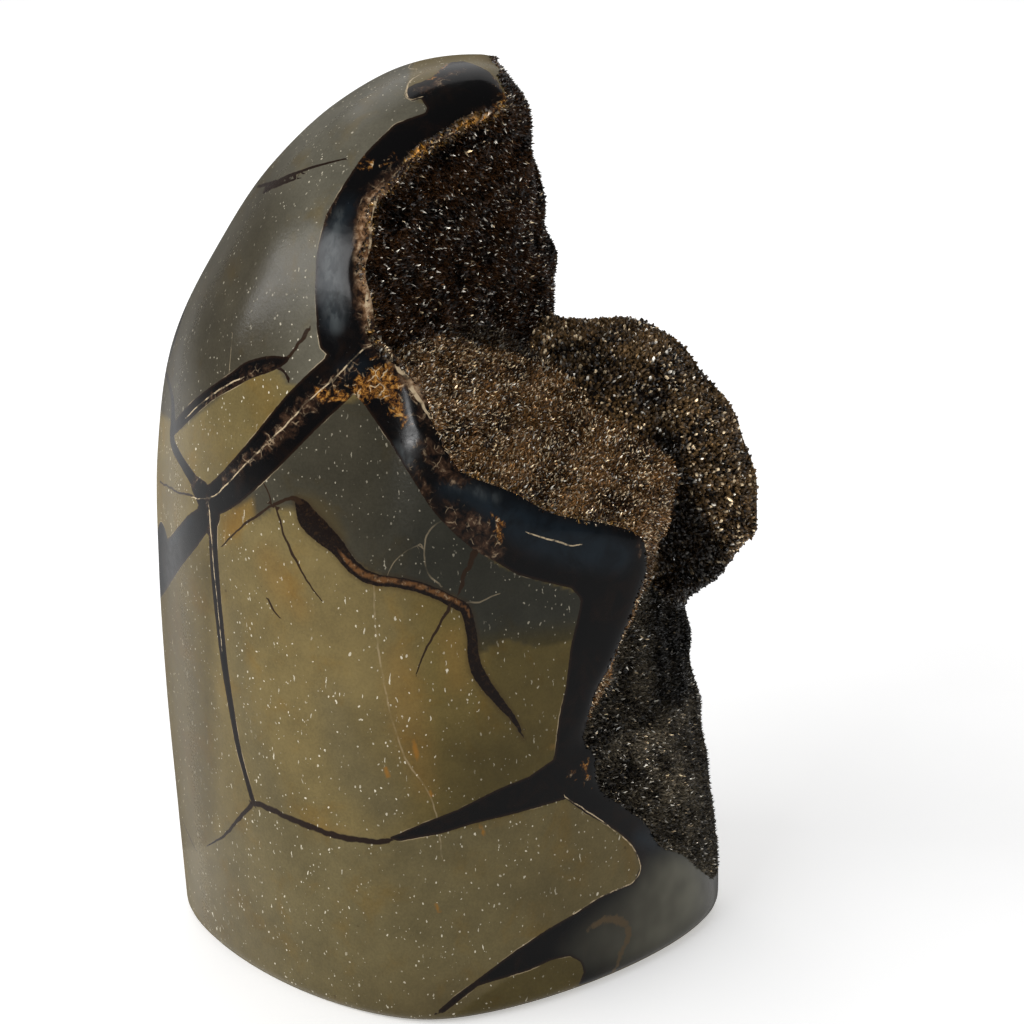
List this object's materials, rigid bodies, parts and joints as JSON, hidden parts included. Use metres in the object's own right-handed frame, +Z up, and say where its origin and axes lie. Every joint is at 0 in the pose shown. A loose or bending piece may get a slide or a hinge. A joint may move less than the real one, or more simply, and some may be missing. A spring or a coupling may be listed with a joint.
{
  "type": "septarian nodule",
  "caption": "Septarian nodule ground and polished to a standing dome, with black calcite veins and an open side lined by dark crystals; rests on its flat base.",
  "frame": {"origin": "on the flat base that the nodule rests on, under the middle of its height's outline: X 0 lies between its left and right reach and Y 0 between its front and back, to within 3 mm", "axes": "+X to the right towards the open side as seen from the front, +Y away from the viewer, +Z up"},
  "size_m": [0.1087, 0.0877, 0.1595],
  "materials": {
    "mudstone": "polished grey and tan mudstone crossed by flush black calcite veins",
    "calcite_druse": "glittering crust of small pointed dark brown and black calcite crystals"
  },
  "bodies": {
    "root": {"nodule": "mudstone", "crystal_crust": "calcite_druse"}
  },
  "joints": []
}
